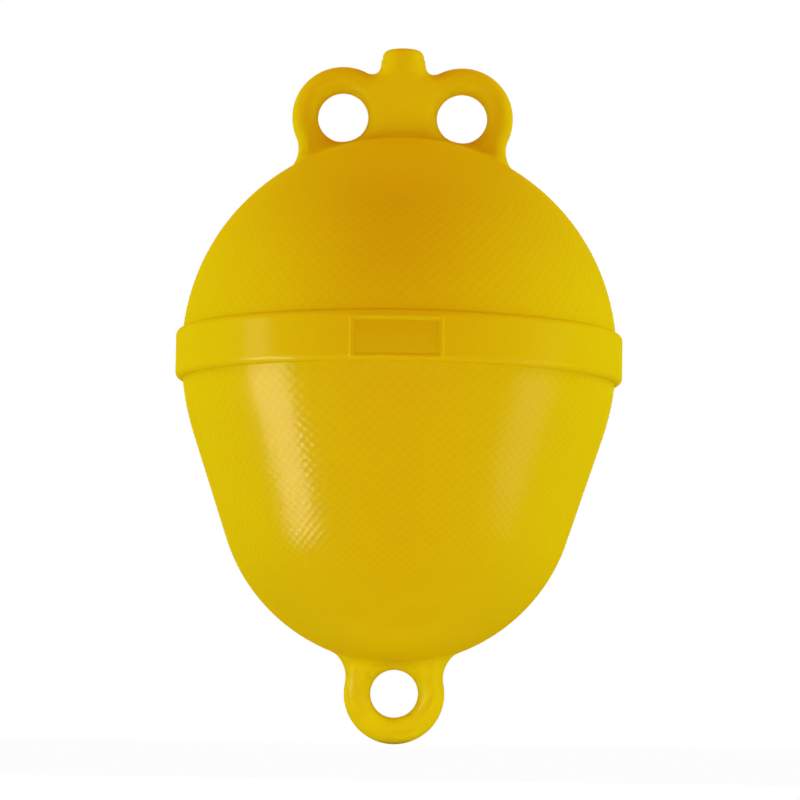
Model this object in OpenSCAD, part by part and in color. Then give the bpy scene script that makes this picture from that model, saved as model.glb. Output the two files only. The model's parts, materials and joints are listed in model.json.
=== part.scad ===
// Pear-shaped mooring buoy: two hollow moulded halves joined under a belt,
// with a twin-eye lug and a filler neck on the crown and a single-eye lug at the foot.
// Millimetres, +Z up, origin on the axis at the middle of the belt, where the buoy floats.
// The eyes look along Y, and the marking panel faces -Y.

/* [Body] */
// Diameter of the body at its widest place
body_d = 244; // [200:1:300]
// Height of the dome's centre above the middle of the belt
dome_centre_h = 2; // [0:0.5:5]
// How much larger the shoulder's radius is than the body's
shoulder_extra_r = 24; // [16:1:60]
// Radius of the round bottom
bottom_r = 100; // [80:1:110]
// Depth of the body's lowest point below the middle of the belt
bottom_depth = 171.5; // [150:0.5:200]
// Thickness of the shells
wall = 4; // [3:0.25:6]

/* [Joint of the halves] */
// Height of the lower shell's spigot inside the upper shell
spigot_h = 12; // [6:0.5:20]
// Thickness of the spigot
spigot_t = 3.5; // [2:0.25:6]
// Depth of the spigot's root below the joint
spigot_root_h = 10; // [4:0.5:14]
// Chamfer that leads the spigot in
spigot_lead = 1; // [0.5:0.25:1.5]
// Radial clearance between spigot and socket
spigot_clearance = 0.2; // [0.1:0.05:0.4]
// Free height above the spigot's end
socket_relief = 1; // [0.5:0.25:2]

/* [Belt] */
// Height of the belt
belt_h = 27.5; // [24:0.5:40]
// How far the belt stands out from the body
belt_proud = 3.4; // [1.5:0.1:6]
// Rounding of the belt's outer edges
belt_edge_r = 3.5; // [1:0.25:4]
// Depth of the belt's seat in the body
belt_seat_depth = 1.6; // [1.2:0.1:2]
// Radial clearance between belt and seat
belt_clearance = 0.15; // [0.05:0.05:0.3]

/* [Marking panel] */
// Width of the panel along the belt
panel_w = 45.8; // [30:0.2:70]
// Height of the panel
panel_h = 18.7; // [14:0.1:19]
// How far the panel's middle lies below the middle of the belt
panel_drop = 1; // [0:0.25:1.5]
// Width of the raised frame round the panel
frame_w = 2.8; // [1.5:0.1:3]
// How far the frame stands out from the belt
frame_proud = 0.6; // [0.4:0.1:1.5]
// Depth of the panel's pocket in the belt
pocket_depth = 1.4; // [1:0.1:2]
// Thickness of the plate in the pocket
plate_t = 0.8; // [0.5:0.1:1]
// Gap round the plate and behind it
plate_gap = 0.15; // [0.1:0.05:0.3]

/* [Lugs] */
// Thickness of both lugs
lug_t = 18; // [15:0.5:24]
// Rounding of the lugs' edges
lug_edge_r = 7; // [3:0.5:7]
// Radius of the fillet between a lug's side and the body
root_r = 17; // [10:1:25]
// How deep the end of that fillet runs into the body
root_sink = 0.5; // [0.3:0.1:1]

/* [Top lug] */
// Diameter of the two top eyes
top_eye_d = 28.5; // [22:0.5:32]
// Distance between the centres of the two top eyes
top_eye_spacing = 67.2; // [60:0.2:80]
// Height of the top eyes' centres above the crown
top_eye_h = 12.3; // [11:0.1:18]
// Width of the rim round each top eye
top_rim_w = 14.5; // [14.25:0.25:18]

/* [Bottom lug] */
// Diameter of the bottom eye
bottom_eye_d = 26.6; // [20:0.2:29]
// Depth of the bottom eye's centre below the body
bottom_eye_h = 16.6; // [15:0.1:22]
// Width of the rim round the bottom eye
bottom_rim_w = 14.75; // [14.25:0.25:18]

/* [Filler neck and plug] */
// Diameter of the neck at its foot
neck_d = 24.5; // [20:0.5:28]
// Diameter of the neck's rim and of the plug's head
rim_d = 23.4; // [18:0.2:25]
// Height of the cone that carries the neck on the lug
neck_cone_h = 5; // [4:0.5:8]
// Radius of the valley between the neck and each ear
valley_r = 6.5; // [3:0.5:7]
// How deep the valley's end runs into the neck
valley_sink = 1.2; // [0.8:0.1:2]
// Height of the neck's rim above the valley's end
neck_stand = 1.6; // [1:0.1:10]
// Height of the plug's head
plug_head_h = 6; // [5:0.5:12]
// Rounding of the plug's head
plug_edge_r = 4; // [2:0.5:5]
// Diameter of the plug's stem
plug_stem_d = 12; // [8:0.5:13]
// Length of the plug's stem
plug_stem_l = 24; // [12:1:40]
// Radial clearance between the stem and its bore
plug_clearance = 0.15; // [0.05:0.05:0.3]

/* [Hidden] */
$fn = 96;

body_r = body_d / 2;
crown_z = dome_centre_h + body_r;
pole_z = -bottom_depth;
cut = 1;
both_sides = [-1, 1];
// How deep blended arcs and lines run into each other, so that they cross
blend_bite = 0.02;

// Belt, seat and spigot
belt_r = body_r + belt_proud;
seat_r = body_r - belt_seat_depth;
socket_r = body_r - wall;
spigot_r = socket_r - spigot_clearance;
spigot_in_r = spigot_r - spigot_t;
spigot_bite_r = socket_r + wall / 4;

// Profile of the lower half: shoulder arc, cone and bottom arc, in [radius, height]
shoulder_c = [-shoulder_extra_r, dome_centre_h];
shoulder_r = body_r + shoulder_extra_r;
bottom_c = [0, pole_z + bottom_r];
centres = shoulder_c - bottom_c;
cone_angle = asin((shoulder_r - bottom_r) / norm(centres)) - atan(shoulder_extra_r / centres[1]);
cone_out = [cos(cone_angle), -sin(cone_angle)];

// Marking panel, as angles round the belt
pocket_r = belt_r - pocket_depth;
panel_angle = panel_w / belt_r * 180 / PI;
frame_angle = (panel_w + 2 * frame_w) / belt_r * 180 / PI;
gap_angle = plate_gap / belt_r * 180 / PI;
front = -90;

// Lugs, in [across, height]
dome_c = [0, dome_centre_h];
top_eye = [top_eye_spacing / 2, crown_z + top_eye_h];
ear_r = top_eye_d / 2 + top_rim_w;
bottom_eye = [0, pole_z - bottom_eye_h];
foot_r = bottom_eye_d / 2 + bottom_rim_w;
top_root = circles_meet(dome_c, body_r - root_sink + root_r, top_eye, ear_r - blend_bite + root_r);
bottom_root = circles_meet(bottom_eye, foot_r - blend_bite + root_r, bottom_c, bottom_r - root_sink + root_r);

// Neck and plug
valley_x = neck_d / 2 - valley_sink + valley_r;
valley = [valley_x, top_eye[1] + sqrt(pow(ear_r - blend_bite + valley_r, 2) - pow(top_eye[0] - valley_x, 2))];
neck_foot_z = valley[1] - valley_r;
neck_rim_z = valley[1] + neck_stand;
plug_bore_r = plug_stem_d / 2 + plug_clearance;
plug_bore_foot_z = crown_z - 2 * wall;

// The right-hand one of the two points where two circles meet
function circles_meet(c1, r1, c2, r2) =
    let (d = norm(c2 - c1), along = (c2 - c1) / d, a = (r1 * r1 - r2 * r2 + d * d) / (2 * d))
    c1 + a * along + sqrt(r1 * r1 - a * a) * [along[1], -along[0]];

// Mirror image of a point across the axis, for side -1
function on_side(p, side) = [side * p[0], p[1]];

// Half profile of the lower half, drawn in by inset, from the joint down to the pole
module lower_profile(inset) {
    shoulder_end = shoulder_c + (shoulder_r - inset - blend_bite) * cone_out;
    cone_end = bottom_c + (bottom_r - inset - blend_bite) * cone_out;
    intersection() {
        union() {
            translate(shoulder_c) circle(shoulder_r - inset);
            translate(bottom_c) circle(bottom_r - inset);
            polygon([[0, 0], bottom_c, cone_end, shoulder_end]);
        }
        translate([0, pole_z]) square([body_r, bottom_depth]);
    }
}

// Stands a lug up: its drawing becomes the XZ plane
module stand() {
    rotate([90, 0, 0]) children();
}

// Full thickness of a lug over a drawn outline
module lug_plate() {
    linear_extrude(lug_t, center = true) children();
}

// Round end of a lug with a rounded rim
module ear(centre, r) {
    half_t = lug_t / 2 - blend_bite;
    translate(centre) rotate_extrude() {
        translate([0, -half_t]) square([r - lug_edge_r, 2 * half_t]);
        translate([0, lug_edge_r - half_t]) square([r, 2 * (half_t - lug_edge_r)]);
        for (side = both_sides) intersection() {
            translate([r - lug_edge_r, side * (half_t - lug_edge_r)]) circle(lug_edge_r);
            translate([0, -half_t]) square([r, 2 * half_t]);
        }
    }
}

// Cutter that leaves a round hollow edge, rounded like the rims
module rounded_cut(centre, r) {
    half_t = lug_t / 2 + blend_bite;
    translate(centre) rotate_extrude() difference() {
        translate([0, -half_t]) square([r + lug_edge_r, 2 * half_t]);
        for (side = both_sides) translate([r + lug_edge_r, side * (half_t - lug_edge_r)]) circle(lug_edge_r);
        translate([r, lug_edge_r - half_t]) square([lug_edge_r, 2 * (half_t - lug_edge_r)]);
    }
}

// Twin-eye lug on the crown
module top_lug() {
    right = [top_root, top_eye, valley];
    left = [for (i = [2, 1, 0]) on_side(right[i], -1)];
    stand() difference() {
        union() {
            lug_plate() polygon([dome_c, each right, each left]);
            for (side = both_sides) ear(on_side(top_eye, side), ear_r);
        }
        for (side = both_sides) {
            rounded_cut(on_side(top_root, side), root_r);
            rounded_cut(on_side(valley, side), valley_r);
            rounded_cut(on_side(top_eye, side), top_eye_d / 2);
        }
    }
}

// Single-eye lug at the foot
module bottom_lug() {
    stand() difference() {
        union() {
            lug_plate() polygon([bottom_c, on_side(bottom_root, -1), bottom_eye, bottom_root]);
            ear(bottom_eye, foot_r);
        }
        for (side = both_sides) rounded_cut(on_side(bottom_root, side), root_r);
        rounded_cut(bottom_eye, bottom_eye_d / 2);
    }
}

// Ring cut from both shells for the belt
module belt_seat() {
    difference() {
        cylinder(h = belt_h, r = belt_r + cut, center = true);
        cylinder(h = belt_h + 2 * cut, r = seat_r, center = true);
    }
}

// Dome, twin-eye lug and filler neck
module upper_shell() {
    color("gold") difference() {
        union() {
            rotate_extrude() intersection() {
                translate(dome_c) circle(body_r);
                square([body_r, crown_z]);
            }
            top_lug();
            translate([0, 0, neck_foot_z]) cylinder(h = neck_rim_z - neck_foot_z, d1 = neck_d, d2 = rim_d);
            translate([0, 0, neck_foot_z - neck_cone_h])
                cylinder(h = neck_cone_h, d1 = neck_d - 2 * neck_cone_h, d2 = neck_d);
        }
        translate([0, 0, dome_centre_h]) sphere(body_r - wall);
        translate([0, 0, -cut]) cylinder(h = spigot_h + socket_relief + cut, r = socket_r);
        translate([0, 0, plug_bore_foot_z]) cylinder(h = neck_rim_z - plug_bore_foot_z + cut, r = plug_bore_r);
        belt_seat();
    }
}

// Cone with its round bottom, single-eye lug and the spigot that enters the upper shell
module lower_shell() {
    color("gold") union() {
        difference() {
            union() {
                rotate_extrude() lower_profile(0);
                bottom_lug();
            }
            rotate_extrude() lower_profile(wall);
            belt_seat();
        }
        rotate_extrude() polygon([
            [spigot_in_r, -spigot_root_h],
            [spigot_bite_r, -spigot_root_h - (spigot_bite_r - spigot_in_r)],
            [spigot_bite_r, 0],
            [spigot_r, 0],
            [spigot_r, spigot_h - spigot_lead],
            [spigot_r - spigot_lead, spigot_h],
            [spigot_in_r, spigot_h]
        ]);
    }
}

// Section of the belt, with rounded outer edges
module belt_section() {
    in_r = seat_r + belt_clearance;
    corner = [belt_r - belt_edge_r, belt_h / 2 - belt_edge_r];
    intersection() {
        translate([in_r, -belt_h / 2]) square([belt_r - in_r, belt_h]);
        union() {
            translate([in_r, -belt_h / 2]) square([corner[0] - in_r, belt_h]);
            translate([in_r, -corner[1]]) square([belt_r - in_r, 2 * corner[1]]);
            for (side = both_sides) translate([corner[0], side * corner[1]]) circle(belt_edge_r);
        }
    }
}

// Block that follows the belt's curve, at the panel's place
module belt_block(in_r, out_r, height, angle) {
    rotate_extrude(start = front - angle / 2, angle = angle)
        translate([in_r, -panel_drop - height / 2]) square([out_r - in_r, height]);
}

// Ring over the joint of the halves, with the raised frame and its pocket
module belt() {
    color("gold") difference() {
        union() {
            rotate_extrude() belt_section();
            belt_block(pocket_r, belt_r + frame_proud, panel_h + 2 * frame_w, frame_angle);
        }
        belt_block(pocket_r, belt_r + frame_proud + cut, panel_h, panel_angle);
    }
}

// Bare plate in the belt's pocket
module marking_plate() {
    color("goldenrod")
        belt_block(pocket_r + plate_gap, pocket_r + plate_gap + plate_t, panel_h - 2 * plate_gap,
            panel_angle - 2 * gap_angle);
}

// Round plug that closes the filler neck
module filler_plug() {
    head_r = rim_d / 2;
    color("gold") {
        translate([0, 0, neck_rim_z]) rotate_extrude() {
            square([head_r, plug_head_h - plug_edge_r]);
            square([head_r - plug_edge_r, plug_head_h]);
            intersection() {
                translate([head_r - plug_edge_r, plug_head_h - plug_edge_r]) circle(plug_edge_r);
                square([head_r, plug_head_h]);
            }
        }
        translate([0, 0, neck_rim_z - plug_stem_l]) cylinder(h = plug_stem_l, d = plug_stem_d);
    }
}

upper_shell();
lower_shell();
belt();
marking_plate();
filler_plug();
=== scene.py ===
"""Looks of a pear-shaped mooring buoy: grained shells, smooth belt, moulded lugs, plug and bare plate.

Sizes are in millimetres up to the point where a mesh is made, and in metres from there on.
"""

import json
import logging
import math
from dataclasses import dataclass, field, replace
from enum import Enum
from typing import Callable

import bmesh
import bpy
import numpy as np
from mathutils import Matrix, Vector


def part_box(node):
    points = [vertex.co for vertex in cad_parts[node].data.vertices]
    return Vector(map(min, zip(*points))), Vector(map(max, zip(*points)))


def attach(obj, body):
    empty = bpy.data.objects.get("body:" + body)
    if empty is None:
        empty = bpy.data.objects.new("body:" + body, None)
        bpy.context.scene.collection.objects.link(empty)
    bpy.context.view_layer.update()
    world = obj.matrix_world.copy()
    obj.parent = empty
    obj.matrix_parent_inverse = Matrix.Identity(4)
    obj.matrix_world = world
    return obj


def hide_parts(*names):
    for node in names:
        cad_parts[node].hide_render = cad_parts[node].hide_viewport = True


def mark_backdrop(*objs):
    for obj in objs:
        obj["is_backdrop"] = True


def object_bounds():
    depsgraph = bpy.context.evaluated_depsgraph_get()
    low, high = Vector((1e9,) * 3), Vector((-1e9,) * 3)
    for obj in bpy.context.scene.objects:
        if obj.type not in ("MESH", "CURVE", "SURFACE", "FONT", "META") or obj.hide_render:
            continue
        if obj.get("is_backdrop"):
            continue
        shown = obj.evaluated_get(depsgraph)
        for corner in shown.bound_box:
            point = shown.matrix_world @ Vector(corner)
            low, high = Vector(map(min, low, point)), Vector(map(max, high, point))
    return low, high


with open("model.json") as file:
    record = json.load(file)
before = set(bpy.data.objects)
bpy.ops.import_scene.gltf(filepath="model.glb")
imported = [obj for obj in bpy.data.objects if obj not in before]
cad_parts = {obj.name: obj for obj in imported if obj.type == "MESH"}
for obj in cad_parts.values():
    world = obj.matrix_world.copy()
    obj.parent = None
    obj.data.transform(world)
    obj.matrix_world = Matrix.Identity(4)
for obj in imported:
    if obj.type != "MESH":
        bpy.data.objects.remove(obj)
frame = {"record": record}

MM = 0.001
PHOTO_SIDE_PX = 800
SENSOR_MM = 36.0
SHARP_DEG = 40.0
PULL_STEPS = 4
PROBE_MM = 0.02
LEAST_STEEPNESS = 0.04
GRAIN_ALONG = "grain_along"
GRAIN_MASK = "grain_mask"
GRAIN_RELIEF = "grain_relief"
# Colour sockets of a mix node: its two inputs and its output.
MIX_A, MIX_B, MIX_RESULT = 6, 7, 2

log = logging.getLogger("buoy")

Field = Callable[[np.ndarray], np.ndarray]
Relief = Callable[[np.ndarray, np.ndarray, np.ndarray], np.ndarray]
Colour = tuple[float, float, float]
Place = tuple[float, float, float]
Point = tuple[float, float]
Span = tuple[float, float]


class Slot(Enum):
    """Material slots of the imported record."""

    GRAINED = "grained_yellow"
    SMOOTH = "smooth_yellow"
    PLATE = "plate_yellow"


class Use(Enum):
    """What a lamp is for: it lights the skin, or it only shines in it."""

    LIGHT = "light"
    SHINE = "shine"


class Lug(Enum):
    """The two lugs, by the end of the body that carries them."""

    TOP = "twin_eye_lug"
    BOTTOM = "single_eye_lug"


def smooth_min(a: np.ndarray, b: np.ndarray, reach: np.ndarray | float) -> np.ndarray:
    """Union of two distance fields with a fillet.

    Args:
        a: First field.
        b: Second field.
        reach: Distance over which the two blend.

    Returns:
        The blended field.
    """
    share = np.clip(0.5 + 0.5 * (b - a) / reach, 0.0, 1.0)
    return b + (a - b) * share - reach * share * (1.0 - share)


def smooth_step(low: float, high: float, value: np.ndarray) -> np.ndarray:
    """Soft step from 0 at low to 1 at high.

    Args:
        low: Where the step starts.
        high: Where the step ends.
        value: Values to place on the step.

    Returns:
        The step's height at each value.
    """
    t = np.clip((value - low) / (high - low), 0.0, 1.0)
    return t * t * (3.0 - 2.0 * t)


def rounded_slab(outline: np.ndarray, depth: np.ndarray, half: float, edge_r: float) -> np.ndarray:
    """Distance field of a flat plate whose edges are rounded.

    Args:
        outline: Distance from the plate's drawn outline, negative inside.
        depth: Place across the plate's thickness, from its middle.
        half: Half of the thickness.
        edge_r: Radius of the rounded edges.

    Returns:
        The plate's distance field.
    """
    a = outline + edge_r
    b = np.abs(depth) - half + edge_r
    outside = np.hypot(np.maximum(a, 0.0), np.maximum(b, 0.0))
    return np.minimum(np.maximum(a, b), 0.0) + outside - edge_r


def circles_meet(c1: Point, r1: float, c2: Point, r2: float) -> Point:
    """The right-hand one of the two points where two circles meet.

    Args:
        c1: Centre of the first circle.
        r1: Radius of the first circle.
        c2: Centre of the second circle.
        r2: Radius of the second circle.

    Returns:
        The meeting point.
    """
    step = np.subtract(c2, c1)
    gap = float(np.hypot(*step))
    along = step / gap
    a = (r1 * r1 - r2 * r2 + gap * gap) / (2.0 * gap)
    side = math.sqrt(r1 * r1 - a * a)
    return (c1[0] + a * along[0] + side * along[1], c1[1] + a * along[1] - side * along[0])


def inside_polygon(x: np.ndarray, z: np.ndarray, corners: list[Point]) -> np.ndarray:
    """Tells which points lie inside a polygon.

    Args:
        x: Points' places across.
        z: Points' heights.
        corners: The polygon's corners in order.

    Returns:
        True for each point inside.
    """
    found = np.zeros(x.shape, bool)
    for (x1, z1), (x2, z2) in zip(corners, corners[1:] + corners[:1]):
        if z1 == z2:
            continue
        crosses = (z1 > z) != (z2 > z)
        found ^= crosses & (x < (x2 - x1) * (z - z1) / (z2 - z1) + x1)
    return found


def place_mesh(name: str, mesh: bpy.types.Mesh) -> bpy.types.Object:
    """Shades a mesh smooth up to its sharp edges and puts it into the scene.

    Args:
        name: Name of the piece.
        mesh: The finished mesh.

    Returns:
        The new object, at the origin.
    """
    mesh.polygons.foreach_set("use_smooth", [True] * len(mesh.polygons))
    mesh.set_sharp_from_angle(angle=math.radians(SHARP_DEG))
    mesh.update()
    piece = bpy.data.objects.new(name, mesh)
    bpy.context.scene.collection.objects.link(piece)
    return piece


def new_piece(name: str, points: np.ndarray, faces: list | np.ndarray) -> bpy.types.Object:
    """Makes a smooth-shaded mesh object from millimetres.

    Args:
        name: Name of the piece.
        points: Vertices in millimetres.
        faces: Vertex numbers of each face, counter-clockwise seen from outside.

    Returns:
        The new object, at the origin.
    """
    mesh = bpy.data.meshes.new(name)
    mesh.from_pydata((np.asarray(points) * MM).tolist(), [], [list(map(int, f)) for f in faces])
    return place_mesh(name, mesh)


def skin(name: str, shape: Field, low: Place, high: Place, step: float) -> bpy.types.Object:
    """Lays a closed skin over the zero level of a distance field.

    One vertex stands in each cell that the surface crosses, and a few Newton steps pull it onto the
    surface.

    Args:
        name: Name of the piece.
        shape: Distance field over points of shape (..., 3), negative inside.
        low: Lowest corner of the cells.
        high: Highest corner of the cells.
        step: Side of a cell.

    Returns:
        The skin as a piece.
    """
    axes = [np.arange(a, b + step, step) for a, b in zip(low, high)]
    grid = np.stack(np.meshgrid(*axes, indexing="ij"), -1)
    value = shape(grid)
    inside = value < 0.0
    counts = np.array(value.shape)

    def shifted(array: np.ndarray, offset: tuple[int, int, int]) -> np.ndarray:
        """The array's cell corners at an offset of 0 or 1 along each axis."""
        return array[tuple(slice(o, n - 1 + o) for o, n in zip(offset, counts))]

    total = np.zeros((*(counts - 1), 3))
    crossings = np.zeros(counts - 1)
    for axis in range(3):
        for corner in np.ndindex(2, 2):
            start = np.insert(corner, axis, 0)
            end = np.insert(corner, axis, 1)
            v0, v1 = shifted(value, start), shifted(value, end)
            crossed = (v0 < 0.0) != (v1 < 0.0)
            t = np.where(crossed, v0 / np.where(crossed, v0 - v1, 1.0), 0.0)
            place = np.broadcast_to(start, total.shape).astype(float)
            place[..., axis] = t
            total += place * crossed[..., None]
            crossings += crossed
    cells = crossings > 0
    number = np.full(cells.shape, -1)
    number[cells] = np.arange(cells.sum())
    points = (np.argwhere(cells) + total[cells] / crossings[cells][:, None]) * step + np.asarray(low)
    for _ in range(PULL_STEPS):
        ahead, behind = ([shape(points + way * e) for e in np.eye(3)] for way in (PROBE_MM, -PROBE_MM))
        slope = np.subtract(ahead, behind).T / (2.0 * PROBE_MM)
        steepness = np.maximum((slope**2).sum(-1), LEAST_STEEPNESS)
        move = (shape(points) / steepness)[:, None] * slope
        points = points - np.clip(move, -0.5 * step, 0.5 * step)
    faces = []
    for axis in range(3):
        b, c = (axis + 1) % 3, (axis + 2) % 3
        cut = [slice(1, n - 1) for n in counts]
        cut[axis] = slice(0, counts[axis] - 1)
        lower = inside[tuple(cut)]
        cut[axis] = slice(1, counts[axis])
        upper = inside[tuple(cut)]
        at = np.argwhere(lower != upper)
        leaves = lower[tuple(at.T)]
        at[:, [b, c]] += 1
        step_b, step_c = np.eye(3, dtype=int)[[b, c]]
        ring = [at - step_b - step_c, at - step_c, at, at - step_b]
        quads = np.stack([number[tuple(cell.T)] for cell in ring], -1)
        faces.append(np.where(leaves[:, None], quads, quads[:, ::-1]))
    return new_piece(name, points, np.concatenate(faces))


def lathe(
    name: str, profile: np.ndarray, angles: np.ndarray, relief: Relief | None = None
) -> bpy.types.Object:
    """Turns a profile about the Z axis into a closed mesh.

    Args:
        name: Name of the piece.
        profile: Rows of (radius, height). It is a closed loop, or it starts and ends on the axis.
        angles: Columns' angles round the axis, in order.
        relief: Height to add to the radius, from (radii, angles, heights), or None.

    Returns:
        The turned piece.
    """
    from_axis = profile[0, 0] == 0.0
    rings = profile[1:-1] if from_axis else profile
    rows, columns = len(rings), len(angles)
    radius = np.repeat(rings[:, 0][:, None], columns, 1)
    height = np.repeat(rings[:, 1][:, None], columns, 1)
    if relief is not None:
        radius = radius + relief(radius, np.broadcast_to(angles, radius.shape), height)
    points = np.stack([radius * np.cos(angles), radius * np.sin(angles), height], -1).reshape(-1, 3)
    ring_pairs = range(rows - 1) if from_axis else range(rows)
    faces = []
    column = np.arange(columns)
    after = (column + 1) % columns
    for row in ring_pairs:
        a, b = row * columns, (row + 1) % rows * columns
        faces.append(np.stack([a + column, a + after, b + after, b + column], -1))
    faces = np.concatenate(faces).tolist()
    if from_axis:
        first, last = len(points), len(points) + 1
        ends = [(0.0, 0.0, profile[0, 1]), (0.0, 0.0, profile[-1, 1])]
        points = np.concatenate([points, ends])
        top = (rows - 1) * columns
        faces += [(first, after[j], j) for j in range(columns)]
        faces += [(top + j, top + after[j], last) for j in range(columns)]
    return new_piece(name, points, faces)


def arc(centre: Point, r: float, start_deg: float, end_deg: float, count: int) -> np.ndarray:
    """Points on an arc of a profile.

    Args:
        centre: Centre as (radius, height).
        r: The arc's radius.
        start_deg: Angle of the first point, from the outward direction upwards.
        end_deg: Angle of the last point.
        count: Number of points.

    Returns:
        Rows of (radius, height).
    """
    turn = np.radians(np.linspace(start_deg, end_deg, count))
    return np.stack([centre[0] + r * np.cos(turn), centre[1] + r * np.sin(turn)], -1)


def link_nodes(tree: bpy.types.NodeTree, *pairs: tuple) -> None:
    """Links each pair of output and input sockets."""
    for source, target in pairs:
        tree.links.new(source, target)


def set_inputs(node: bpy.types.Node, values: dict[str, object]) -> None:
    """Sets a node's inputs by their names."""
    for name, value in values.items():
        node.inputs[name].default_value = value


def new_group(name: str, kind: str, inputs: dict[str, str], outputs: dict[str, str]) -> bpy.types.NodeTree:
    """Makes a node group that has its sockets and nothing inside.

    Args:
        name: Name of the group.
        kind: Type of its tree.
        inputs: What each named input takes, such as Float or Color.
        outputs: What each named output gives.

    Returns:
        The group.
    """
    tree = bpy.data.node_groups.new(name, kind)
    for way, sockets in (("INPUT", inputs), ("OUTPUT", outputs)):
        for label, holds in sockets.items():
            tree.interface.new_socket(label, in_out=way, socket_type="NodeSocket" + holds)
    return tree


def add_math(tree: bpy.types.NodeTree, operation: str, *inputs: object) -> bpy.types.NodeSocket:
    """Adds a math node to a shader or geometry tree.

    Args:
        tree: The tree.
        operation: What the node does.
        inputs: Numbers to set or sockets to link, in order.

    Returns:
        The node's result.
    """
    node = tree.nodes.new("ShaderNodeMath")
    node.operation = operation
    for place, value in enumerate(inputs):
        if isinstance(value, bpy.types.NodeSocket):
            tree.links.new(value, node.inputs[place])
        else:
            node.inputs[place].default_value = value
    return node.outputs[0]


@dataclass(frozen=True)
class DiamondGrain:
    """Diagonal diamond grain of the shells, raised from the mesh by a Geometry Nodes tree."""

    around: int = 113
    samples: int = 5
    rows: int = 4
    stretch: float = 0.93
    depth: float = 0.23
    least_r: float = 1.0

    @property
    def columns(self) -> np.ndarray:
        """Angles of the columns, a whole number of them to each diamond."""
        count = self.around * self.samples
        return np.arange(count) * (2.0 * math.pi / count)

    def along(self, profile: np.ndarray) -> np.ndarray:
        """Counts diamonds along a profile so that they keep their shape as the body narrows.

        Args:
            profile: Rows of (radius, height).

        Returns:
            The count at each row.
        """
        length = np.hypot(*np.diff(profile, axis=0).T)
        middle = np.maximum((profile[1:, 0] + profile[:-1, 0]) / 2.0, self.least_r)
        turns = np.concatenate([[0.0], np.cumsum(length / middle)])
        return turns * self.around / (2.0 * math.pi * self.stretch)

    def tree(self) -> bpy.types.NodeTree:
        """Builds the tree once and finds it again later.

        Returns:
            The Geometry Nodes tree, with named inputs for its sizes.
        """
        name = "raise diamond grain"
        if name in bpy.data.node_groups:
            return bpy.data.node_groups[name]
        tree = new_group(
            name,
            "GeometryNodeTree",
            {"Geometry": "Geometry", "Diamonds Around": "Float", "Depth": "Float", "Finish": "Material"},
            {"Geometry": "Geometry"},
        )
        start = tree.nodes.new("NodeGroupInput")
        end = tree.nodes.new("NodeGroupOutput")

        def named(attribute: str) -> bpy.types.NodeSocket:
            """Reads one of the mesh's own numbers.

            Args:
                attribute: Name under which the mesh holds it.

            Returns:
                The number's socket.
            """
            node = tree.nodes.new("GeometryNodeInputNamedAttribute")
            node.data_type = "FLOAT"
            set_inputs(node, {"Name": attribute})
            return node.outputs["Attribute"]

        def math_node(operation: str, *inputs: object) -> bpy.types.NodeSocket:
            """Adds one sum to the tree."""
            return add_math(tree, operation, *inputs)

        place = tree.nodes.new("ShaderNodeSeparateXYZ")
        link_nodes(tree, (tree.nodes.new("GeometryNodeInputPosition").outputs[0], place.inputs[0]))
        turn = math_node("ARCTAN2", place.outputs["Y"], place.outputs["X"])
        across = math_node("COSINE", math_node("MULTIPLY", turn, start.outputs["Diamonds Around"]))
        along = math_node("COSINE", math_node("MULTIPLY", named(GRAIN_ALONG), 2.0 * math.pi))
        relief = math_node("MULTIPLY", math_node("MULTIPLY", across, along), named(GRAIN_MASK))
        height = math_node("MULTIPLY", relief, start.outputs["Depth"])
        offset = tree.nodes.new("ShaderNodeVectorMath")
        offset.operation = "SCALE"
        store = tree.nodes.new("GeometryNodeStoreNamedAttribute")
        store.data_type = "FLOAT"
        store.domain = "POINT"
        set_inputs(store, {"Name": GRAIN_RELIEF})
        move = tree.nodes.new("GeometryNodeSetPosition")
        realize = tree.nodes.new("GeometryNodeRealizeInstances")
        finish = tree.nodes.new("GeometryNodeSetMaterial")
        link_nodes(
            tree,
            (tree.nodes.new("GeometryNodeInputNormal").outputs[0], offset.inputs[0]),
            (height, offset.inputs["Scale"]),
            (start.outputs["Geometry"], store.inputs["Geometry"]),
            (relief, store.inputs["Value"]),
            (store.outputs["Geometry"], move.inputs["Geometry"]),
            (offset.outputs[0], move.inputs["Offset"]),
            (move.outputs[0], realize.inputs[0]),
            (realize.outputs[0], finish.inputs["Geometry"]),
            (start.outputs["Finish"], finish.inputs["Material"]),
            (finish.outputs[0], end.inputs[0]),
        )
        return tree

    def raise_on(self, piece: bpy.types.Object, finish: bpy.types.Material) -> None:
        """Raises the grain on a piece and leaves it a plain mesh.

        Args:
            piece: Piece whose mesh holds the grain's two numbers at each vertex.
            finish: Material of the piece.
        """
        tree = self.tree()
        values = {"Diamonds Around": float(self.around), "Depth": self.depth * MM, "Finish": finish}
        modifier = piece.modifiers.new("grain", "NODES")
        modifier.node_group = tree
        for socket in tree.interface.items_tree:
            if socket.in_out == "INPUT" and socket.name in values:
                modifier[socket.identifier] = values[socket.name]
        graph = bpy.context.evaluated_depsgraph_get()
        made = bpy.data.meshes.new_from_object(piece.evaluated_get(graph))
        piece.modifiers.remove(modifier)
        piece.data = made


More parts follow.
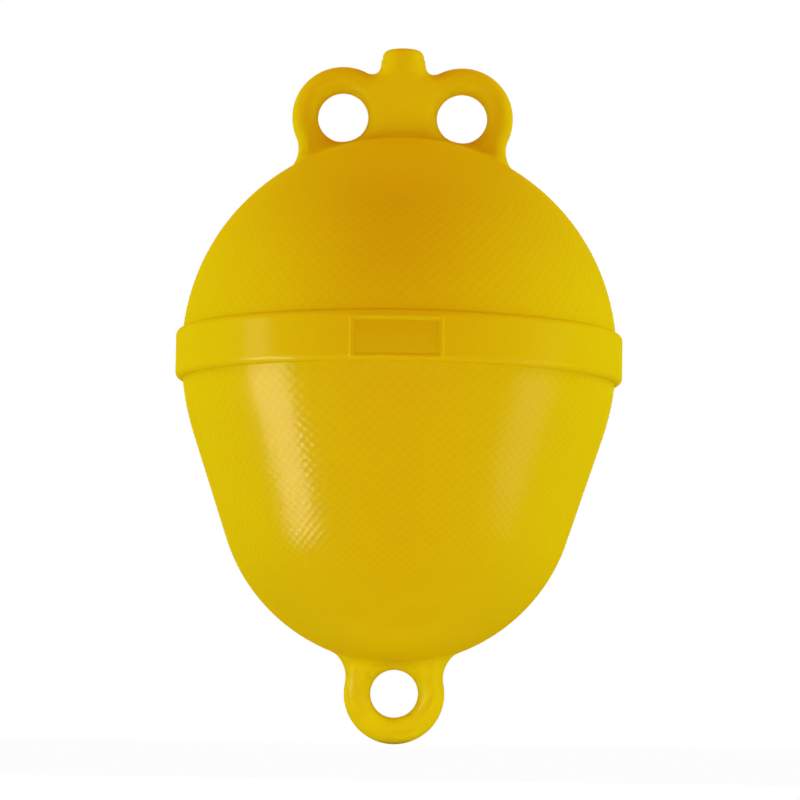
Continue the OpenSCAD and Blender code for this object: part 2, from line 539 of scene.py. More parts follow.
def pigment_group() -> bpy.types.NodeTree:
    """Builds the group that lets the pigment drift a little in hue and depth over a moulding.

    Returns:
        Shader node group with a colour output.
    """
    name = "pigment drift"
    if name in bpy.data.node_groups:
        return bpy.data.node_groups[name]
    tree = new_group(
        name,
        "ShaderNodeTree",
        {"Vector": "Vector", "Full": "Color", "Thin": "Color", "Cloud Scale": "Float"},
        {"Color": "Color"},
    )
    start, end = tree.nodes.new("NodeGroupInput"), tree.nodes.new("NodeGroupOutput")
    cloud = tree.nodes.new("ShaderNodeTexNoise")
    set_inputs(cloud, {"Detail": 3.0})
    mix = tree.nodes.new("ShaderNodeMix")
    mix.data_type = "RGBA"
    link_nodes(
        tree,
        (start.outputs["Vector"], cloud.inputs["Vector"]),
        (start.outputs["Cloud Scale"], cloud.inputs["Scale"]),
        (cloud.outputs["Fac"], mix.inputs["Factor"]),
        (start.outputs["Full"], mix.inputs[MIX_A]),
        (start.outputs["Thin"], mix.inputs[MIX_B]),
        (mix.outputs[MIX_RESULT], end.inputs["Color"]),
    )
    return tree


def skin_group() -> bpy.types.NodeTree:
    """Builds the group for the fine dull skin of moulded polyethylene.

    Returns:
        Shader node group with a height and a roughness output.
    """
    name = "moulded skin"
    if name in bpy.data.node_groups:
        return bpy.data.node_groups[name]
    tree = new_group(
        name,
        "ShaderNodeTree",
        {
            "Vector": "Vector",
            "Fine Scale": "Float",
            "Patch Scale": "Float",
            "Dullest": "Float",
            "Glossiest": "Float",
        },
        {"Height": "Float", "Roughness": "Float"},
    )
    start, end = tree.nodes.new("NodeGroupInput"), tree.nodes.new("NodeGroupOutput")
    fine = tree.nodes.new("ShaderNodeTexNoise")
    set_inputs(fine, {"Detail": 4.0})
    patches = tree.nodes.new("ShaderNodeTexNoise")
    span = tree.nodes.new("ShaderNodeMapRange")
    link_nodes(
        tree,
        (start.outputs["Vector"], fine.inputs["Vector"]),
        (start.outputs["Fine Scale"], fine.inputs["Scale"]),
        (start.outputs["Vector"], patches.inputs["Vector"]),
        (start.outputs["Patch Scale"], patches.inputs["Scale"]),
        (patches.outputs["Fac"], span.inputs["Value"]),
        (start.outputs["Glossiest"], span.inputs["To Min"]),
        (start.outputs["Dullest"], span.inputs["To Max"]),
        (fine.outputs["Fac"], end.inputs["Height"]),
        (span.outputs["Result"], end.inputs["Roughness"]),
    )
    return tree


@dataclass(frozen=True)
class Polyethylene:
    """Satin yellow polyethylene, with or without the moulded grain.

    Its sheen is a small share of a strong reflector, so that it stays even and the skin's edges do
    not whiten.
    """

    name: str
    full: Colour = (0.725, 0.560, 0.002)
    thin: Colour = (0.755, 0.600, 0.002)
    glossiest: float = 0.24
    dullest: float = 0.34
    sheen: float = 0.006
    grain_shine: float = 0.0
    # Share by which the base colour is darker in the grain's hollows and lighter on its crests: painted
    # shade and painted light that stand in for the grain's own shading.
    painted_grain_shade: float = 0.0
    sheen_ior: float = 4.0
    sheen_roughness: float = 0.2
    cloud_scale: float = 14.0
    patch_scale: float = 18.0
    fine_scale: float = 900.0
    fine_height: float = 0.00003

    def follow_grain(self, tree: bpy.types.NodeTree, middle: float, share: float) -> bpy.types.NodeSocket:
        """Makes a value that is higher on the grain's crests and lower in its hollows.

        Args:
            tree: The material's tree.
            middle: The value halfway up.
            share: How much of the middle the value swings by.

        Returns:
            The value's socket.
        """
        relief = tree.nodes.new("ShaderNodeAttribute")
        relief.attribute_name = GRAIN_RELIEF
        span = tree.nodes.new("ShaderNodeMapRange")
        low, high = middle * (1.0 - share), middle * (1.0 + share)
        set_inputs(span, {"From Min": -1.0, "To Min": low, "To Max": high})
        link_nodes(tree, (relief.outputs["Fac"], span.inputs["Value"]))
        return span.outputs["Result"]

    def material(self) -> bpy.types.Material:
        """Builds the material.

        Returns:
            A procedural material on Object coordinates.
        """
        made = bpy.data.materials.new(self.name)
        made.use_nodes = True
        tree = made.node_tree
        shader = tree.nodes["Principled BSDF"]
        set_inputs(
            shader,
            {
                "Specular IOR Level": 0.0,
                "Coat Weight": self.sheen,
                "Coat IOR": self.sheen_ior,
                "Coat Roughness": self.sheen_roughness,
            },
        )
        place = tree.nodes.new("ShaderNodeTexCoord").outputs["Object"]
        pigment = tree.nodes.new("ShaderNodeGroup")
        pigment.node_tree = pigment_group()
        set_inputs(
            pigment,
            {"Full": (*self.full, 1.0), "Thin": (*self.thin, 1.0), "Cloud Scale": self.cloud_scale},
        )
        surface = tree.nodes.new("ShaderNodeGroup")
        surface.node_tree = skin_group()
        set_inputs(
            surface,
            {
                "Fine Scale": self.fine_scale,
                "Patch Scale": self.patch_scale,
                "Dullest": self.dullest,
                "Glossiest": self.glossiest,
            },
        )
        bump = tree.nodes.new("ShaderNodeBump")
        set_inputs(bump, {"Distance": self.fine_height})
        colour = pigment.outputs["Color"]
        if self.grain_shine > 0.0:
            # Painted shade and painted light: the base colour is scaled darker in the grain's hollows and
            # lighter on its crests.
            painted_shade = tree.nodes.new("ShaderNodeVectorMath")
            painted_shade.operation = "SCALE"
            link_nodes(
                tree,
                (self.follow_grain(tree, self.sheen, self.grain_shine), shader.inputs["Coat Weight"]),
                (colour, painted_shade.inputs[0]),
                (self.follow_grain(tree, 1.0, self.painted_grain_shade), painted_shade.inputs["Scale"]),
            )
            colour = painted_shade.outputs[0]
        link_nodes(
            tree,
            (place, pigment.inputs["Vector"]),
            (place, surface.inputs["Vector"]),
            (colour, shader.inputs["Base Color"]),
            (surface.outputs["Roughness"], shader.inputs["Roughness"]),
            (surface.outputs["Height"], bump.inputs["Height"]),
            (bump.outputs["Normal"], shader.inputs["Normal"]),
        )
        return made


# The grained kind has painted shade in the grain's hollows and painted light on its crests, by a share of
# 0.032.
GRAINED_YELLOW = Polyethylene("grained polyethylene", grain_shine=0.5, painted_grain_shade=0.032)
SMOOTH_YELLOW = Polyethylene("smooth polyethylene")
# A little darker and more orange than the other yellows.
PLATE_YELLOW = Polyethylene("plate polyethylene", full=(0.69, 0.52, 0.002), thin=(0.72, 0.56, 0.002))


@dataclass
class Finishes:
    """The buoy's materials, made once."""

    grained: bpy.types.Material = field(default_factory=GRAINED_YELLOW.material)
    smooth: bpy.types.Material = field(default_factory=SMOOTH_YELLOW.material)
    plate: bpy.types.Material = field(default_factory=PLATE_YELLOW.material)


def settle(piece: bpy.types.Object, node: str) -> bpy.types.Object:
    """Puts a finished piece in the place of a CAD node.

    Args:
        piece: The finished piece.
        node: Name of the node that it stands for.

    Returns:
        The piece.
    """
    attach(piece, "root")
    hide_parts(node)
    return piece


def wear(piece: bpy.types.Object, finish: bpy.types.Material) -> None:
    """Gives a piece its one material."""
    piece.data.materials.clear()
    piece.data.materials.append(finish)


@dataclass
class Body:
    """Sizes of the two grained shells, which every other piece sits on."""

    radius: float = 122.0
    dome_height: float = 2.0
    shoulder_extra: float = 24.0
    bottom_r: float = 100.0
    bottom_depth: float = 171.5
    wall: float = 4.0
    seat_depth: float = 1.6
    spigot_height: float = 12.0
    spigot_wall: float = 3.5
    spigot_gap: float = 0.2
    belt_half: float = field(default_factory=lambda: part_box("belt")[1].z / MM)
    grain: DiamondGrain = field(default_factory=DiamondGrain)
    dome_fade: Span = (70.0, 104.0)
    bottom_fade: Span = (-112.0, -150.0)
    belt_fade: Span = (0.5, 2.5)
    smooth_rows: int = 20
    inner_rows: int = 9
    inner_start_deg: float = 6.0
    fine_points: int = 400

    @property
    def bottom_centre(self) -> Point:
        """Centre of the round bottom."""
        return (0.0, self.bottom_r - self.bottom_depth)

    @property
    def shoulder_centre(self) -> Point:
        """Centre of the shoulder's arc."""
        return (-self.shoulder_extra, self.dome_height)

    @property
    def seat_r(self) -> float:
        """Radius of the belt's seat."""
        return self.radius - self.seat_depth

    @property
    def cone_deg(self) -> float:
        """Works out the angle by which the cone's skin leans from the axis.

        Returns:
            The angle in degrees.
        """
        across = self.shoulder_centre[0] - self.bottom_centre[0]
        up = self.shoulder_centre[1] - self.bottom_centre[1]
        taper = (self.radius + self.shoulder_extra - self.bottom_r) / math.hypot(across, up)
        return math.degrees(math.asin(taper) - math.atan(self.shoulder_extra / up))

    def lower_outline(self, inset: float, top: float, count: int) -> np.ndarray:
        """Profile of the lower half, from the pole up.

        Args:
            inset: How far the profile is drawn in.
            top: Height at which it ends.
            count: Number of points on each arc.

        Returns:
            Rows of (radius, height).
        """
        shoulder_r = self.radius + self.shoulder_extra - inset
        end_deg = math.degrees(math.asin((top - self.dome_height) / shoulder_r))
        bottom = arc(self.bottom_centre, self.bottom_r - inset, -90.0, -self.cone_deg, count)
        shoulder = arc(self.shoulder_centre, shoulder_r, -self.cone_deg, end_deg, count)
        return np.concatenate([bottom, shoulder])

    def spaced(self, outline: np.ndarray, fade: Span) -> np.ndarray:
        """Spaces rows along an outline: closely where the grain is, widely where it has faded.

        Args:
            outline: Finely drawn outline, from the belt to a pole.
            fade: Heights at which the grain starts to fade and is gone.

        Returns:
            The spaced rows, from the belt to the pole.
        """
        along = self.grain.along(outline)
        length = np.concatenate([[0.0], np.cumsum(np.hypot(*np.diff(outline, axis=0).T))])
        gone = np.argmin(np.abs(outline[:, 1] - fade[1]))
        close = np.interp(np.arange(0.0, along[gone], 1.0 / self.grain.rows), along, length)
        wide = np.linspace(length[gone], length[-1], self.smooth_rows)
        at = np.concatenate([close, wide])
        return np.stack([np.interp(at, length, outline[:, i]) for i in (0, 1)], -1)

    def shell(self, name: str, outer: np.ndarray, inner: np.ndarray, fade: Span) -> bpy.types.Object:
        """Turns one hollow shell and writes the grain's numbers onto its vertices.

        Args:
            name: Name of the piece.
            outer: Outer rows, from the belt to the pole.
            inner: Inner rows, from the belt to the pole.
            fade: Heights at which the grain starts to fade and is gone.

        Returns:
            The shell, still without grain.
        """
        up = fade[1] > 0.0
        count = len(outer)
        along = self.grain.along(outer)
        edge = np.abs(outer[:, 1] - outer[0, 1])
        mask = (1.0 - smooth_step(*fade, outer[:, 1])) * smooth_step(*self.belt_fade, edge)
        if up:
            profile = np.concatenate([inner[::-1], outer])
            rows = np.arange(len(inner), len(inner) + count)
        else:
            profile = np.concatenate([outer[::-1], inner])
            rows = np.arange(count)[::-1]
        profile[[0, -1], 0] = 0.0
        piece = lathe(name, profile, self.grain.columns)
        columns = len(self.grain.columns)
        for attribute, values in ((GRAIN_ALONG, along), (GRAIN_MASK, mask)):
            by_row = np.zeros(len(profile))
            by_row[rows] = values
            by_vertex = np.concatenate([np.repeat(by_row[1:-1], columns), [0.0, 0.0]])
            layer = piece.data.attributes.new(attribute, "FLOAT", "POINT")
            layer.data.foreach_set("value", by_vertex.astype(np.float32))
        return piece

    def build(self, finishes: Finishes) -> list[bpy.types.Object]:
        """Builds and dresses both shells.

        Args:
            finishes: The buoy's materials.

        Returns:
            The two shells.
        """
        socket_r = self.radius - self.wall
        dome_start = math.degrees(math.asin((self.belt_half - self.dome_height) / self.radius))
        centre = (0.0, self.dome_height)
        dome = arc(centre, self.radius, dome_start, 90.0, self.fine_points)
        dome_inner = arc(centre, socket_r, self.inner_start_deg, 90.0, self.inner_rows)
        dome_rim = [(self.seat_r, self.belt_half), (self.seat_r, 0.0), (socket_r, 0.0)]
        upper = self.shell(
            "dome_shell",
            self.spaced(dome, self.dome_fade),
            np.concatenate([dome_rim, dome_inner]),
            self.dome_fade,
        )
        spigot_r = socket_r - self.spigot_gap
        spigot_in = spigot_r - self.spigot_wall
        cone_rim = [
            (self.seat_r, -self.belt_half),
            (self.seat_r, 0.0),
            (spigot_r, 0.0),
            (spigot_r, self.spigot_height),
            (spigot_in, self.spigot_height),
            (spigot_in, -self.spigot_height),
        ]
        inner_top = -2.0 * self.belt_half
        inner = self.lower_outline(self.wall, inner_top, self.inner_rows)
        outer = self.lower_outline(0.0, -self.belt_half, self.fine_points)
        lower = self.shell(
            "cone_shell",
            self.spaced(outer[::-1], self.bottom_fade),
            np.concatenate([cone_rim, inner[::-1]]),
            self.bottom_fade,
        )
        for piece in (upper, lower):
            wear(piece, finishes.grained)
            self.grain.raise_on(piece, finishes.grained)
        return [settle(upper, "upper_shell"), settle(lower, "lower_shell")]


def mount_eye(name: str) -> tuple[Point, float]:
    """Finds an eye among the record's mounts.

    Args:
        name: The mount's name.

    Returns:
        The eye's centre as (across, height) and its radius.
    """
    mount = next(m for m in frame["record"]["mounts"] if m["name"] == name)
    return (mount["pos_m"][0] / MM, mount["pos_m"][2] / MM), mount["dims"]["r_mm"]


@dataclass
class MouldedLugs:
    """The smooth lugs that grow out of the shells, each a rounded plate blended into the body."""

    body: Body
    half_thickness: float = 9.0
    edge_r: float = 7.0
    root_r: float = 17.0
    root_sink: float = 0.5
    top_rim: float = 14.5
    bottom_rim: float = 14.75
    valley_r: float = 6.5
    valley_sink: float = 1.2
    neck_d: float = 24.5
    rim_d: float = 23.4
    neck_fillet: float = 4.0
    neck_overrun: float = 0.45
    top_fillet: float = 5.0
    bottom_fillet: float = 9.0
    thin_fillet: float = 1.0
    skirt: float = 11.0
    under_skin: float = 0.15
    tuck: float = 3.0
    step: float = 0.8
    margin_steps: float = 4.0
    top_reach: float = 86.0
    top_from: float = 86.0
    bottom_reach: float = 66.0
    bottom_to: float = -135.0
    neck_rim: float = field(default_factory=lambda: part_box("upper_shell")[1].z / MM)
    plug_foot: float = field(default_factory=lambda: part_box("filler_plug")[0].z / MM)
    bore_r: float = 6.15

    def from_web_edge(self, x: np.ndarray, z: np.ndarray, root: Point, ball: Point) -> np.ndarray:
        """Distance from the edge of a lug's web that lies inside the body.

        Args:
            x: Points' places across.
            z: Points' heights.
            root: Centre of the fillet between the lug and the body.
            ball: Centre of the ball that carries the lug.

        Returns:
            The distance of each point.
        """
        edge = np.subtract(ball, root)
        toe = np.add(root, edge * (self.root_r / np.hypot(*edge)))
        rest = np.subtract(ball, toe)
        share = ((x - toe[0]) * rest[0] + (z - toe[1]) * rest[1]) / (rest @ rest)
        share = np.clip(share, 0.0, 1.0)
        return np.hypot(x - toe[0] - share * rest[0], z - toe[1] - share * rest[1])

    def blended(
        self, plate: np.ndarray, outline: np.ndarray, p: np.ndarray, ball: Point, r: float, fillet: float
    ) -> np.ndarray:
        """Blends a plate into the ball that carries it, and keeps only what is near the plate.

        The blend is full on the plate's broad faces and thins out towards its outline.

        Args:
            plate: The plate's distance field.
            outline: Distance from the plate's drawn outline, negative inside.
            p: The field's points.
            ball: Centre of the ball.
            r: Radius of the ball.
            fillet: Reach of the blend on the broad faces.

        Returns:
            The lug's distance field.
        """
        from_centre = np.sqrt(p[..., 0] ** 2 + p[..., 1] ** 2 + (p[..., 2] - ball[1]) ** 2)
        reach = self.thin_fillet + (fillet - self.thin_fillet) * smooth_step(0.0, self.edge_r, -outline)
        lug = smooth_min(plate, from_centre - (r - self.under_skin), reach)
        return np.maximum(np.maximum(lug, plate - self.skirt), r - self.tuck - from_centre)

    def top_field(self, p: np.ndarray) -> np.ndarray:
        """Distance field of the twin-eye lug with its neck.

        Args:
            p: Points, with their three places last.

        Returns:
            The field at each point.
        """
        eye, eye_r = mount_eye("top_eye_right")
        ear_r = eye_r + self.top_rim
        x, y, z = np.abs(p[..., 0]), p[..., 1], p[..., 2]
        dome = (0.0, self.body.dome_height)
        root = circles_meet(dome, self.body.radius - self.root_sink + self.root_r, eye, ear_r + self.root_r)
        valley_x = self.neck_d / 2.0 - self.valley_sink + self.valley_r
        rise = math.sqrt((ear_r + self.valley_r) ** 2 - (eye[0] - valley_x) ** 2)
        valley = (valley_x, eye[1] + rise)
        above = 2.0 * valley[1]
        web = inside_polygon(x, z, [dome, root, eye, valley, (valley_x, above), (0.0, above)])
        from_eye = np.hypot(x - eye[0], z - eye[1])
        in_web = np.maximum(self.root_r - np.hypot(x - root[0], z - root[1]), z - valley[1])
        in_web = np.maximum(in_web, self.valley_r - np.hypot(x - valley[0], z - valley[1]))
        outside = np.minimum(from_eye - ear_r, self.from_web_edge(x, z, root, dome))
        outline = np.where(web, in_web, outside)
        plate = rounded_slab(np.maximum(outline, eye_r - from_eye), y, self.half_thickness, self.edge_r)
        foot = valley[1] - self.valley_r
        from_axis = np.hypot(x, y)
        taper = (self.neck_d - self.rim_d) / 2.0 / (self.neck_rim - foot)
        side = from_axis - self.neck_d / 2.0 + taper * np.maximum(z - foot, 0.0)
        cone = (from_axis - self.neck_d / 2.0 + foot - z) * math.sqrt(0.5)
        lid = z - self.neck_rim - self.neck_overrun
        neck = np.maximum(np.maximum(side, cone), lid)
        with_neck = np.maximum(smooth_min(plate, neck, self.neck_fillet), lid)
        lug = self.blended(with_neck, outline, p, dome, self.body.radius, self.top_fillet)
        bore = np.minimum(self.bore_r - from_axis, z - self.plug_foot)
        return np.maximum(np.maximum(lug, eye_r - from_eye), bore)

    def bottom_field(self, p: np.ndarray) -> np.ndarray:
        """Distance field of the single-eye lug.

        Args:
            p: Points, with their three places last.

        Returns:
            The field at each point.
        """
        eye, eye_r = mount_eye("bottom_eye")
        foot_r = eye_r + self.bottom_rim
        x, y, z = np.abs(p[..., 0]), p[..., 1], p[..., 2]
        ball = self.body.bottom_centre
        root = circles_meet(
            eye, foot_r + self.root_r, ball, self.body.bottom_r - self.root_sink + self.root_r
        )
        web = inside_polygon(x, z, [ball, root, eye])
        from_eye = np.hypot(x - eye[0], z - eye[1])
        in_web = self.root_r - np.hypot(x - root[0], z - root[1])
        outside = np.minimum(from_eye - foot_r, self.from_web_edge(x, z, root, ball))
        outline = np.maximum(np.where(web, in_web, outside), eye_r - from_eye)
        plate = rounded_slab(outline, y, self.half_thickness, self.edge_r)
        lug = self.blended(plate, outline, p, ball, self.body.bottom_r, self.bottom_fillet)
        return np.maximum(lug, eye_r - from_eye)

    def build(self, finishes: Finishes) -> list[bpy.types.Object]:
        """Builds and dresses both lugs.

        Args:
            finishes: The buoy's materials.

        Returns:
            The two lugs.
        """
        margin = self.margin_steps * self.step
        deep = self.half_thickness + self.skirt + margin
        low = (-self.top_reach, -deep, self.top_from)
        high = (self.top_reach, deep, self.neck_rim + margin)
        top = skin(Lug.TOP.value, self.top_field, low, high, self.step)
        low = (-self.bottom_reach, -deep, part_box("lower_shell")[0].z / MM - margin)
        high = (self.bottom_reach, deep, self.bottom_to)
        bottom = skin(Lug.BOTTOM.value, self.bottom_field, low, high, self.step)
        for piece in (top, bottom):
            wear(piece, finishes.smooth)
        return [settle(top, "upper_shell"), settle(bottom, "lower_shell")]


@dataclass
class Belt:
    """Smooth ring over the joint of the shells, with the framed pocket and its bare plate."""

    body: Body
    radius: float = 125.4
    edge_r: float = 3.5
    clearance: float = 0.15
    panel_w: float = 45.8
    panel_h: float = 18.7
    panel_drop: float = 1.0
    frame_w: float = 2.8
    frame_proud: float = 0.6
    pocket_depth: float = 1.4
    pocket_slope: Span = (-1.4, 0.2)
    plate_gap: float = 0.4
    plate_lift: float = 0.15
    plate_t: float = 0.8
    plate_edge: float = 0.3
    plate_cuts: int = 40
    front: float = -math.pi / 2.0
    fine_step: float = 0.35
    coarse_deg: float = 1.2
    edge_rows: int = 14
    face_rows: int = 70

    def relief(self, radius: np.ndarray, angle: np.ndarray, height: np.ndarray) -> np.ndarray:
        """Height of the frame and depth of the pocket on the belt's outer face.

        Args:
            radius: Radius of each vertex.
            angle: Angle of each vertex.
            height: Height of each vertex.

        Returns:
            What to add to each radius.
        """
        turn = angle - self.front
        turn = np.where(turn > math.pi, turn - 2.0 * math.pi, turn)
        across = np.abs(turn * self.radius) - self.panel_w / 2.0
        up = np.abs(height + self.panel_drop) - self.panel_h / 2.0
        out = np.hypot(np.maximum(across, 0.0), np.maximum(up, 0.0))
        out = out + np.minimum(np.maximum(across, up), 0.0)
        crest = self.frame_w / 2.0
        rib = smooth_step(self.pocket_slope[1], crest, out) - smooth_step(crest, self.frame_w, out)
        pocket = smooth_step(*self.pocket_slope, out) - 1.0
        inner = radius < self.radius - self.edge_r
        return np.where(inner, 0.0, self.frame_proud * rib + self.pocket_depth * pocket)

    def ring(self) -> bpy.types.Object:
        """Turns the ring with its frame.

        Returns:
            The belt as a closed piece.
        """
        half = self.body.belt_half
        flat = half - self.edge_r
        in_r = self.body.seat_r + self.clearance
        corner = self.radius - self.edge_r
        rows = [
            np.array([(in_r, half), (in_r, 0.0), (in_r, -half)]),
            arc((corner, -flat), self.edge_r, -90.0, 0.0, self.edge_rows)[:-1],
            np.linspace((self.radius, -flat), (self.radius, flat), self.face_rows),
            arc((corner, flat), self.edge_r, 0.0, 90.0, self.edge_rows)[1:],
        ]
        reach = (self.panel_w / 2.0 + 2.0 * self.frame_w) / self.radius
        close = np.linspace(-reach, reach, int(2.0 * reach * self.radius / self.fine_step))
        wide = np.linspace(reach, 2.0 * math.pi - reach, int(360.0 / self.coarse_deg))[1:-1]
        angles = np.concatenate([close, wide]) + self.front
        return lathe("belt_ring", np.concatenate(rows), angles, self.relief)

    def plate(self) -> bpy.types.Object:
        """Makes the bare plate: a flat bevelled block, bent round the belt.

        Returns:
            The plate as a closed piece.
        """
        face_r = self.radius - self.pocket_depth + self.plate_lift + self.plate_t
        width = self.panel_w - 2.0 * self.plate_gap
        work = bmesh.new()
        bmesh.ops.create_cube(work, size=1.0)
        size = (width, self.plate_t, self.panel_h - 2.0 * self.plate_gap)
        bmesh.ops.scale(work, vec=size, verts=work.verts)
        bmesh.ops.bevel(
            work, geom=work.edges[:], offset=self.plate_edge, segments=3, profile=0.5, affect="EDGES"
        )
        for x in np.linspace(-width / 2.0, width / 2.0, self.plate_cuts + 2)[1:-1]:
            everything = work.verts[:] + work.edges[:] + work.faces[:]
            bmesh.ops.bisect_plane(work, geom=everything, plane_co=(x, 0.0, 0.0), plane_no=(1.0, 0.0, 0.0))
        for vert in work.verts:
            turn = vert.co.x / face_r
            r = face_r - self.plate_t / 2.0 - vert.co.y
            vert.co = Vector((r * math.sin(turn), -r * math.cos(turn), vert.co.z - self.panel_drop)) * MM
        bmesh.ops.recalc_face_normals(work, faces=work.faces)
        mesh = bpy.data.meshes.new("bare_plate")
        work.to_mesh(mesh)
        work.free()
        return place_mesh("bare_plate", mesh)

    def build(self, finishes: Finishes) -> list[bpy.types.Object]:
        """Builds and dresses the belt and its plate.

        Args:
            finishes: The buoy's materials.

        Returns:
            The belt and the plate.
        """
        ring, plate = self.ring(), self.plate()
        wear(ring, finishes.smooth)
        wear(plate, finishes.plate)
        return [settle(ring, "belt"), settle(plate, "marking_plate")]


@dataclass
class FillerPlug:
    """Round plug that closes the neck, flush with its rim."""

    head_d: float = 23.4
    edge_r: float = 4.0
    stem_d: float = 12.0
    crown: float = 0.25
    joint: float = 0.12
    columns: int = 96
    edge_rows: int = 14
    top: float = field(default_factory=lambda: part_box("filler_plug")[1].z / MM)
    foot: float = field(default_factory=lambda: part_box("filler_plug")[0].z / MM)
    rim: float = field(default_factory=lambda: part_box("upper_shell")[1].z / MM)

    def build(self, finishes: Finishes) -> bpy.types.Object:
        """Turns and dresses the plug.

        Args:
            finishes: The buoy's materials.

        Returns:
            The plug.
        """
        head_r, stem_r = self.head_d / 2.0, self.stem_d / 2.0
        flat = head_r - self.edge_r
        corner = arc((flat, self.top - self.edge_r), self.edge_r, 0.0, 90.0, self.edge_rows)
        corner[:, 1] -= self.crown * (corner[:, 0] / head_r) ** 2
        profile = np.concatenate(
            [
                [(0.0, self.foot), (stem_r, self.foot), (stem_r, self.rim)],
                [(head_r - self.joint, self.rim), (head_r, self.rim + self.joint)],
                corner,
                [(flat / 2.0, self.top), (0.0, self.top)],
            ]
        )
        angles = np.arange(self.columns) * (2.0 * math.pi / self.columns)
        plug = lathe("filler_plug_head", profile, angles)
        wear(plug, finishes.smooth)
        return settle(plug, "filler_plug")


@dataclass(frozen=True)
class SoftBox:
    """One soft lamp that looks at the buoy."""

    name: str
    place: Place
    aim: Place
    width: float
    tall: float
    watts: float
    colour: Colour = (1.0, 1.0, 1.0)
    use: Use = Use.LIGHT
    spread_deg: float = 180.0

    def pair(self) -> tuple["SoftBox", "SoftBox"]:
        """Puts the lamp on both sides of the buoy.

        Returns:
            The left lamp and the right one.
        """
        x, y, z = self.place
        left = replace(self, name=f"{self.name} left", place=(-x, y, z))
        return left, replace(self, name=f"{self.name} right")

    def hang(self) -> bpy.types.Object:
        """Makes the lamp.

        Returns:
            The lamp's object.
        """
        lamp = bpy.data.lights.new(self.name, "AREA")
        lamp.shape = "RECTANGLE"
        lamp.size, lamp.size_y = self.width, self.tall
        lamp.energy = self.watts
        lamp.color = self.colour
        lamp.spread = math.radians(self.spread_deg)
        made = bpy.data.objects.new(self.name, lamp)
        made.location = self.place
        made.rotation_euler = (Vector(self.aim) - Vector(self.place)).to_track_quat("-Z", "Y").to_euler()
        made.visible_camera = False
        made.visible_diffuse = self.use is Use.LIGHT
        made.visible_glossy = self.use is Use.SHINE
        bpy.context.scene.collection.objects.link(made)
        return made


MIDDLE: Place = (0.0, 0.0, 0.0)
UNDER_BELT: Place = (0.0, 0.0, -0.02)
PALE_LIME: Colour = (0.76, 1.0, 0.8)


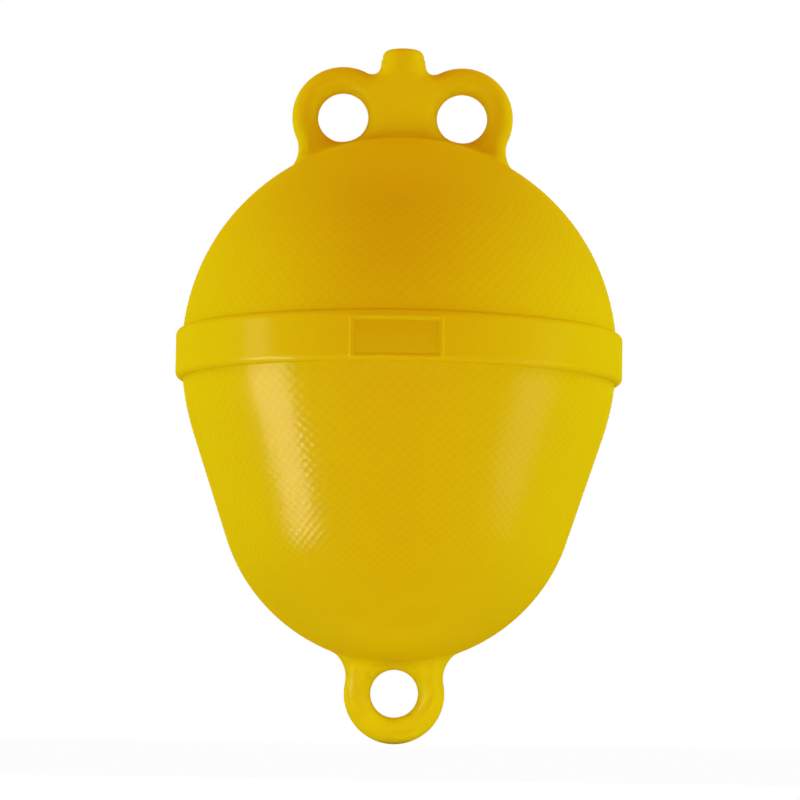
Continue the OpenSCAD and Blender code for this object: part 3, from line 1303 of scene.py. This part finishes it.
@dataclass
class Studio:
    """Pale floor, white surroundings, soft lamps and the camera."""

    floor_half: float = 6.0
    floor_colour: Colour = (0.9, 0.9, 0.9)
    floor_white: float = 0.97
    fill_colour: Colour = (1.0, 0.286, 0.2)
    fill_strength: float = 0.605
    camera_place: Point = (0.0257, -2.1)
    camera_height: float = 0.001
    camera_aim: Place = (0.0009, 0.0, -0.0235)
    camera_roll_deg: float = 0.85
    focal_px: float = 3753.0
    lamps: tuple[SoftBox, ...] = (
        *SoftBox(
            "side", (1.18, -0.208, 0.043), UNDER_BELT,
            width=0.5, tall=0.36, watts=3.0, colour=(0.24, 1.0, 0.6),
        ).pair(),
        *SoftBox(
            "high", (0.979, 0.086, 0.668), UNDER_BELT,
            width=0.5, tall=0.5, watts=4.6, colour=(0.71, 1.0, 0.8),
        ).pair(),
        SoftBox(
            "bounce", (0.0, -0.7, -0.19), MIDDLE,
            width=0.9, tall=0.3, watts=1.95, colour=(0.77, 0.99, 0.8),
        ),
        SoftBox(
            "foot", (0.0, -0.7, -0.2), (0.0, 0.0, -0.2),
            width=0.06, tall=0.02, watts=0.0065, colour=PALE_LIME, spread_deg=12.0,
        ),
        SoftBox(
            "crown", (0.0, -0.7, 0.16), (0.0, 0.0, 0.15),
            width=0.06, tall=0.02, watts=0.0045, colour=PALE_LIME, spread_deg=14.0,
        ),
        SoftBox(
            "rim", (0.0, 0.9, 0.9), MIDDLE,
            width=0.6, tall=0.6, watts=4.0, colour=(0.87, 1.0, 0.9),
        ),
        SoftBox(
            "back", (0.0, 1.2, 0.05), UNDER_BELT,
            width=0.6, tall=0.4, watts=2.2, colour=(0.6, 1.0, 0.7),
        ),
        SoftBox(
            "shine left", (-0.185, -0.135, -0.107), (-0.091, -0.1008, -0.107),
            width=0.073, tall=0.172, watts=1.6, use=Use.SHINE,
        ),
        SoftBox(
            "shine belt", (-0.192, -0.129, 0.012), (-0.0765, -0.099, 0.012),
            width=0.045, tall=0.045, watts=0.065, use=Use.SHINE,
        ),
        SoftBox(
            "shine right", (0.1975, -0.1171, -0.095), (0.1005, -0.0929, -0.095),
            width=0.075, tall=0.13, watts=0.27, use=Use.SHINE,
        ),
    )

    def white_where_seen(
        self, tree: bpy.types.NodeTree, plain: bpy.types.NodeSocket, share: float
    ) -> bpy.types.NodeSocket:
        """Mixes white into a shader for camera, glossy and transmission rays.

        Args:
            tree: The material's or the world's tree.
            plain: Shader that lights the object.
            share: How white the surface is where it is seen.

        Returns:
            The mixed shader.
        """
        path = tree.nodes.new("ShaderNodeLightPath")
        seen = add_math(tree, "MAXIMUM", path.outputs["Is Camera Ray"], path.outputs["Is Glossy Ray"])
        seen = add_math(tree, "MAXIMUM", seen, path.outputs["Is Transmission Ray"])
        in_world = plain.node.type == "BACKGROUND"
        white = tree.nodes.new("ShaderNodeBackground" if in_world else "ShaderNodeEmission")
        set_inputs(white, {"Color": (1.0, 1.0, 1.0, 1.0), "Strength": 1.0})
        mix = tree.nodes.new("ShaderNodeMixShader")
        link_nodes(
            tree,
            (add_math(tree, "MULTIPLY", seen, share), mix.inputs[0]),
            (plain, mix.inputs[1]),
            (white.outputs[0], mix.inputs[2]),
        )
        return mix.outputs[0]

    def floor(self, height: float) -> bpy.types.Object:
        """Lays the floor.

        Args:
            height: The floor's height in metres.

        Returns:
            The floor's object.
        """
        half = self.floor_half
        ends = ((-half, -half), (half, -half), (half, half), (-half, half))
        corners = [(x, y, height) for x, y in ends]
        mesh = bpy.data.meshes.new("floor")
        mesh.from_pydata(corners, [], [(0, 1, 2, 3)])
        floor = bpy.data.objects.new("floor", mesh)
        bpy.context.scene.collection.objects.link(floor)
        paper = bpy.data.materials.new("pale floor")
        paper.use_nodes = True
        tree = paper.node_tree
        shader = tree.nodes["Principled BSDF"]
        set_inputs(
            shader,
            {"Base Color": (*self.floor_colour, 1.0), "Roughness": 1.0, "Specular IOR Level": 0.0},
        )
        seen = self.white_where_seen(tree, shader.outputs[0], self.floor_white)
        link_nodes(tree, (seen, tree.nodes["Material Output"].inputs["Surface"]))
        mesh.materials.append(paper)
        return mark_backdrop(floor)

    def surroundings(self) -> None:
        """Gives the world its soft fill and its white background."""
        world = bpy.data.worlds.new("studio")
        world.use_nodes = True
        tree = world.node_tree
        fill = tree.nodes["Background"]
        set_inputs(fill, {"Color": (*self.fill_colour, 1.0), "Strength": self.fill_strength})
        seen = self.white_where_seen(tree, fill.outputs[0], 1.0)
        link_nodes(tree, (seen, tree.nodes["World Output"].inputs["Surface"]))
        bpy.context.scene.world = world

    def camera(self, floor_height: float) -> None:
        """Sets the camera at floor level, looking up at the buoy.

        Args:
            floor_height: The floor's height in metres.
        """
        lens = bpy.data.cameras.new("camera")
        lens.sensor_width = SENSOR_MM
        lens.lens = self.focal_px / PHOTO_SIDE_PX * SENSOR_MM
        made = bpy.data.objects.new("camera", lens)
        place = Vector((*self.camera_place, floor_height + self.camera_height))
        aim = (Vector(self.camera_aim) - place).to_track_quat("-Z", "Y").to_matrix()
        roll = Matrix.Rotation(math.radians(self.camera_roll_deg), 3, "Z")
        made.matrix_world = Matrix.Translation(place) @ (aim @ roll).to_4x4()
        bpy.context.scene.collection.objects.link(made)
        bpy.context.scene.camera = made

    def build(self, floor_height: float) -> None:
        """Sets up everything round the buoy.

        Args:
            floor_height: The floor's height in metres.
        """
        self.floor(floor_height)
        self.surroundings()
        self.camera(floor_height)
        for lamp in self.lamps:
            lamp.hang()
        bpy.context.scene.view_settings.view_transform = "Standard"


def main() -> None:
    """Builds the buoy's pieces in order, then the studio."""
    logging.basicConfig(level=logging.INFO, format="%(name)s: %(message)s")
    cad_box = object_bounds()
    finishes = Finishes()
    body = Body()
    pieces = body.build(finishes)
    pieces += MouldedLugs(body).build(finishes)
    pieces += Belt(body).build(finishes)
    pieces.append(FillerPlug().build(finishes))
    for piece in pieces:
        log.info("%s: %d faces", piece.name, len(piece.data.polygons))
    seen_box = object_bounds()
    Studio().build(min(cad_box[0].z, seen_box[0].z))


if __name__ == "__main__":
    main()
